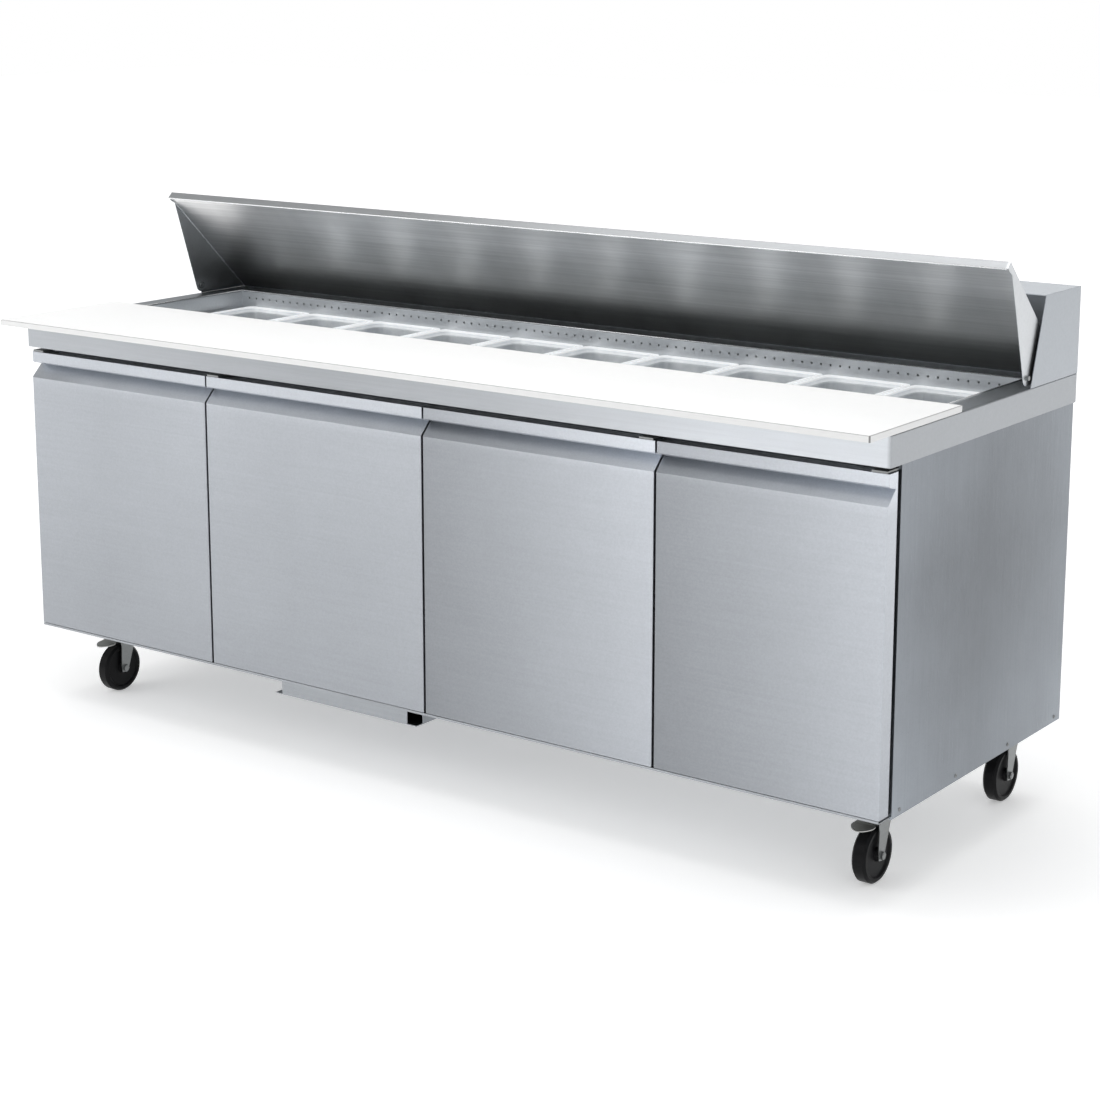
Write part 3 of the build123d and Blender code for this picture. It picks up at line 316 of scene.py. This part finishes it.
m.rough(m.remap(fine, 0.30, 0.44))
m.bump(m.math("ADD", fine, wide), 0.15, 0.0005, 0.0012)
mats["lid_in"] = m.m

# cutting board: bright white polyethylene, orange-peel skin and faint knife scuffs
m = Mat("board_white").set(IOR=1.5)
peel = m.noise(420, 2.0, 0.5)
scuff = m.noise(9, 2.0, 0.7, (2.0, 60, 60), 1.2)
big = m.noise(3.0, 3.0)
c = m.mix((0.95, 0.95, 0.945), m.ramp(scuff, [(0.36, 0.965), (0.46, 1.0)]))
c = m.mix(c, m.ramp(big, [(0.3, 0.985), (0.7, 1.0)]))
# painted shade: a fine grey outline along the chamfer, and the edge faces painted a little darker than the top
blo, bhi = box("cutting_board")
edge_w = 0.0028
for ax, lo, hi in (("X", blo.x, bhi.x), ("Y", blo.y, bhi.y)):
    c = m.mix(c, m.ramp(m.along(ax, lo, lo + 4 * edge_w), [(0.0, 0.80), (0.02, 0.44), (0.22, 0.46), (0.30, 1.0)]))
    c = m.mix(c, m.ramp(m.along(ax, hi - 4 * edge_w, hi), [(0.70, 1.0), (0.78, 0.46), (0.98, 0.44), (1.0, 0.80)]))
m.colour(c)
# painted light: a faint white glow lifts the board to white
m.set(Emission_Strength=0.05)
m.b.inputs["Emission Color"].default_value = (1, 1, 1, 1)
m.rough(m.remap(scuff, 0.42, 0.52))
m.bump(m.math("ADD", peel, m.math("MULTIPLY", scuff, 0.5)), 0.12, 0.0003, 0.0015)
mats["board"] = m.m

# clear moulded pans
plo, phi = box("food_pan_01")
m = Mat("pan_clear").set(IOR=1.55)
smear = m.noise(18, 3.0, 0.6)
m.colour(m.ramp(smear, [(0.3, (0.82, 0.86, 0.90)), (0.7, (0.93, 0.96, 0.98))]))
m.rough(m.remap(smear, 0.03, 0.12))
# thin walls are see-through and the thick rolled rim is more opaque; the rim's near-white look is a painted glow added
# below
rim = m.ramp(m.along("Z", plo.z, phi.z), [(0.0, 0.42), (0.90, 0.46), (0.955, 0.88), (1.0, 0.94)])
m.l.new(m.math("ADD", rim, m.remap(smear, -0.05, 0.05)), m.b.inputs["Alpha"])
# painted highlight: emission bands make the rim glow white
m.b.inputs["Emission Color"].default_value = (1, 1, 1, 1)
m.l.new(m.ramp(m.along("Z", phi.z - 0.016, phi.z), [(0.0, 0.0), (0.22, 0.04), (0.30, 0.30), (0.70, 0.10), (0.82, 0.34), (1.0, 0.42)]), m.b.inputs["Emission Strength"])
m.bump(m.noise(60, 2.0), 0.08, 0.0005, 0.0015)
mats["pan"] = m.m

look_of = {
    "worktop": "apron", "cutting_board": "board", "side_panels": "side", "back_panel": "galv", "base_panel": "galv",
    "front_frame": "frame", "interior_liner": "liner", "insulation": "foam", "pan_well": "well", "pan_rails": "well",
    "rear_hood": "hood", "lid_shell": "lid_out", "lid_core": "foam", "lid_inner_panel": "lid_in",
    "hinge_brackets": "zinc", "caster_mounts": "zinc", "unit_tray": "tray", "compressor": "enamel",
    "condenser_coil": "coil", "fan_shroud": "galv", "condenser_fan": "black", "rear_grille": "galv",
    "cord_gland": "black", "evaporator_housing": "abs", "evaporator_fan": "black", "evaporator_coil": "coil",
    "thermostat_dial": "black", "wire_shelves": "shelf", "brake_pedal_left": "pedal", "brake_pedal_right": "pedal",
}
for i in (1, 2, 3, 4):
    look_of[f"door_{i}_liner"] = "liner"
    look_of[f"door_{i}_gasket"] = "gasket"
for i in range(1, 11):
    look_of[f"food_pan_{i:02d}"] = "pan"
for end in ("front_left", "front_right", "rear_left", "rear_right"):
    look_of[f"caster_fork_{end}"] = "zinc"
    look_of[f"caster_wheel_{end}"] = "wheel"


def dress(node, mat):
    o = nodes[node]
    if not o.material_slots:
        o.data.materials.append(mat)
    for s in o.material_slots:
        s.material = mat


for n in nodes:
    if n in look_of:
        dress(n, mats[look_of[n]])
for i in (1, 2, 3, 4):
    dress(f"door_{i}_shell", doors[i])


# ---------------------------------------------------------------- added pieces
ZT = box("worktop")[1].z
ZC = box("side_panels")[0].z


def piece(name, bm, body, mat, smooth=True, bevel=None):
    me = bpy.data.meshes.new(name)
    bmesh.ops.recalc_face_normals(bm, faces=bm.faces)
    bm.to_mesh(me)
    bm.free()
    for f in me.polygons:
        f.use_smooth = smooth
    me.materials.append(mat)
    o = bpy.data.objects.new(name, me)
    bpy.context.scene.collection.objects.link(o)
    if bevel:
        mod = o.modifiers.new("edges", "BEVEL")
        mod.width, mod.segments, mod.limit_method = bevel, 2, "ANGLE"
    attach(o, body)
    return o


def bead(name, pts, r, body, mat, cyclic=False):
    """A rounded hem or weld bead along a line."""
    cu = bpy.data.curves.new(name, "CURVE")
    cu.dimensions = "3D"
    cu.bevel_depth = r
    cu.bevel_resolution = 3
    cu.use_fill_caps = True
    sp = cu.splines.new("POLY")
    sp.points.add(len(pts) - 1)
    for q, a in zip(sp.points, pts):
        q.co = (*a, 1)
    sp.use_cyclic_u = cyclic
    cu.materials.append(mat)
    o = bpy.data.objects.new(name, cu)
    bpy.context.scene.collection.objects.link(o)
    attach(o, body)
    return o


def rrect(w, l, r, n=6):
    """Points round a rounded rectangle."""
    out = []
    for cx, cy, a0 in ((w / 2 - r, l / 2 - r, 0), (-w / 2 + r, l / 2 - r, 90), (-w / 2 + r, -l / 2 + r, 180), (w / 2 - r, -l / 2 + r, 270)):
        for k in range(n + 1):
            a = math.radians(a0 + 90 * k / n)
            out.append((cx + r * math.cos(a), cy + r * math.sin(a)))
    return out


def loft(bm, rings, cap_last=True, cap_first=False):
    loops = [[bm.verts.new(p) for p in ring] for ring in rings]
    for a, b in zip(loops, loops[1:]):
        for i in range(len(a)):
            j = (i + 1) % len(a)
            bm.faces.new((a[i], a[j], b[j], b[i]))
    if cap_last:
        bm.faces.new(loops[-1])
    if cap_first:
        bm.faces.new(loops[0])
    return loops


def screw(bm, at, out, r=0.0042, h=0.0016):
    """A pan head with a cross recess, on a surface whose outward direction is out."""
    out = Vector(out).normalized()
    u = out.orthogonal().normalized()
    v = out.cross(u)
    at = Vector(at)
    seg, fr = 32, (1.0, 1.0, 0.9, 0.72, 0.56, 0.42, 0.28, 0.14)
    hh = (0.0, 0.35, 0.72, 0.93, 1.0, 1.0, 1.0, 1.0)
    rings = []
    for f, z in zip(fr, hh):
        ring = []
        for k in range(seg):
            a = 2 * math.pi * k / seg
            x, y = r * f * math.cos(a), r * f * math.sin(a)
            d = h * z
            if f < 0.6 and min(abs(x), abs(y)) < 0.16 * r:
                d -= 0.55 * h
            ring.append(at + u * x + v * y + out * d)
        rings.append(ring)
    loft(bm, rings)


# clear pans: rolled rim, stacking ledge below it, drafted walls and a dished floor
for i in range(1, 11):
    name = f"food_pan_{i:02d}"
    lo, hi = box(name)
    cx, cy = (lo.x + hi.x) / 2, (lo.y + hi.y) / 2
    w, l, top = hi.x - lo.x, hi.y - lo.y, hi.z
    sect = [  # inset from the rim each side, height below the rim's top, corner radius: outside up, over the rim, inside down
        (0.0225, -0.1528, 0.020), (0.0188, -0.1500, 0.024), (0.0165, -0.1400, 0.026), (0.0090, -0.0060, 0.026),
        (0.0070, -0.0032, 0.024), (0.0004, -0.0030, 0.0136), (0.0, -0.0022, 0.014), (0.0, -0.0009, 0.014), (0.0010, 0.0, 0.013),
        (0.0092, 0.0, 0.0225), (0.0104, -0.0012, 0.0235), (0.0108, -0.0100, 0.0235), (0.0116, -0.0116, 0.0230), (0.0142, -0.0124, 0.0215),
        (0.0150, -0.0140, 0.0210), (0.0208, -0.1370, 0.0180), (0.0236, -0.1450, 0.0170), (0.0300, -0.1492, 0.0140),
        (0.0420, -0.1503, 0.0120), (0.0440, -0.1490, 0.0120), (0.0560, -0.1490, 0.0100),
    ]
    bm = bmesh.new()
    rings = [[(cx + x, cy + y, top + dz) for x, y in rrect(w - 2 * d, l - 2 * d, rr)] for d, dz, rr in sect]
    loft(bm, rings, True, True)
    o = piece(f"pan_clear_{i:02d}", bm, f"pan_{i:02d}", mats["pan"])
    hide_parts(name)

# rolled trim round the pan opening
OX, OY0, OY1 = 1.120, -0.068, 0.317
bead("well_trim", [(x, y, ZT + 0.0004) for x, y in ((-OX - .0022, OY0 - .0022), (OX + .0022, OY0 - .0022), (OX + .0022, OY1 + .0022), (-OX - .0022, OY1 + .0022))],
     0.0020, "cabinet", mats["hem"], True)

# lid: hemmed free edge and the folds where the cheeks meet the inner panel
PY, PZ = 0.220, ZT + 0.022
A = (PY + 0.268 * math.cos(math.radians(111)), PZ + 0.268 * math.sin(math.radians(111)))
C = (PY + 0.172 * math.cos(math.radians(-4)), PZ + 0.172 * math.sin(math.radians(-4)))
LL = math.dist(A, C)
al = ((C[0] - A[0]) / LL, (C[1] - A[1]) / LL)
inn = (al[1], -al[0])
LX = box("lid_shell")[1].x


def lid_pt(x, u, v):
    return (x, A[0] + al[0] * u + inn[0] * v, A[1] + al[1] * u + inn[1] * v)


for s, side in ((-1, "left"), (1, "right")):
    bm = bmesh.new()
    quad = [(0.0004, 0.0004), (0.034, 0.0004), (0.034, 0.0120), (0.012, 0.0176), (0.0004, 0.0176)]
    loft(bm, [[lid_pt(s * (LX + dx), u, v) for u, v in quad] for dx in (-0.0010, 0.0003)], True, True)
    piece(f"lid_end_cap_{side}", bm, "lid", mats["lid_out"], False)
bead("lid_hem", [lid_pt(-LX + 0.003, 0.0026, 0.0172), lid_pt(LX - 0.003, 0.0026, 0.0172)], 0.0026, "lid", mats["hem"])
for s, side in ((-1, "left"), (1, "right")):
    bead(f"lid_fold_{side}", [lid_pt(s * (LX - 0.0022), 0.004, 0.0130), lid_pt(s * (LX - 0.0022), LL - 0.006, 0.0130)], 0.0013,
         "lid", mats["hem"])

# black strip along the front of the tray's rolled lip: painted shadow standing in for the shaded gap under the cabinet
tlo, thi = box("unit_tray")
flo, fhi = box("front_frame")
bm = bmesh.new()
xa, xb, ya, yb, za, zb = tlo.x + 0.001, thi.x - 0.037, tlo.y - 0.0022, tlo.y - 0.0001, ZC - 0.0100, ZC - 0.0045
prof = [(yb, za), (ya + 0.0006, za), (ya, za + 0.0006), (ya, zb - 0.0006), (ya + 0.0006, zb), (yb, zb)]
loft(bm, [[(xa + (xb - xa) * t, y, z) for y, z in prof] for t in (0, 0.33, 0.66, 1)], True, True)
piece("tray_lip_painted_shadow", bm, "cabinet", mats["gasket"], False)

# folded lip of the frame, seen as a light line under the doors
bm = bmesh.new()
y0, y1 = box("door_1_shell")[0].y + 0.0006, flo.y - 0.0002
zl = ZC + 0.0052
prof = [(y1, zl), (y0 + 0.0008, zl), (y0, zl + 0.0008), (y0, zl + 0.0054), (y0 + 0.001, zl + 0.0054), (y0 + 0.001, zl + 0.0012), (y1, zl + 0.0012)]
xs = box("side_panels")[1].x
loft(bm, [[(x, y, z) for y, z in prof] for x in (-xs + 0.002, -0.5, 0.0, 0.5, xs - 0.002)], True, True)
piece("door_sill_lip", bm, "cabinet", mats["tray"], False)

# screws: lower edge of the side panels, and along the back panel's top and bottom edges
bm = bmesh.new()
slo, shi = box("side_panels")
for s in (-1, 1):
    for y in (-0.285, -0.045, 0.195, 0.425):
        screw(bm, (s * shi.x, y, ZC + 0.012), (s, 0, 0))
piece("side_screws", bm, "cabinet", mats["zinc"])
bm = bmesh.new()
klo, khi = box("back_panel")
for k in range(9):
    x = klo.x + 0.04 + (khi.x - klo.x - 0.08) * k / 8
    for z in (klo.z + 0.012, khi.z - 0.02):
        screw(bm, (x, khi.y, z), (0, 1, 0), 0.0042, 0.0012)
piece("back_screws", bm, "cabinet", mats["zinc"])

# ---------------------------------------------------------------- floor
floor_me = bpy.data.meshes.new("floor")
bm = bmesh.new()
bmesh.ops.create_grid(bm, x_segments=8, y_segments=8, size=24)
bm.to_mesh(floor_me)
bm.free()
floor = bpy.data.objects.new("floor", floor_me)
bpy.context.scene.collection.objects.link(floor)
m = Mat("floor").set(Roughness=0.9)
m.set(Specular_IOR_Level=0.1)
m.colour(m.ramp(m.noise(0.6, 2.0), [(0.3, (0.90, 0.90, 0.90)), (0.7, (0.92, 0.92, 0.92))]))
far_tc = m.n.new("ShaderNodeTexCoord")
far_len = m.n.new("ShaderNodeVectorMath")
far_len.operation = "LENGTH"
far_map = m.n.new("ShaderNodeMapRange")
far_map.inputs["From Min"].default_value = 2.5
far_map.inputs["From Max"].default_value = 5.0
far_map.inputs["To Min"].default_value = 0.36
far_map.inputs["To Max"].default_value = 0.70
m.l.new(far_tc.outputs["Object"], far_len.inputs[0])
m.l.new(far_len.outputs["Value"], far_map.inputs["Value"])
m.l.new(far_map.outputs["Result"], m.b.inputs["Emission Strength"])
m.b.inputs["Emission Color"].default_value = (1, 1, 1, 1)
floor_me.materials.append(m.m)
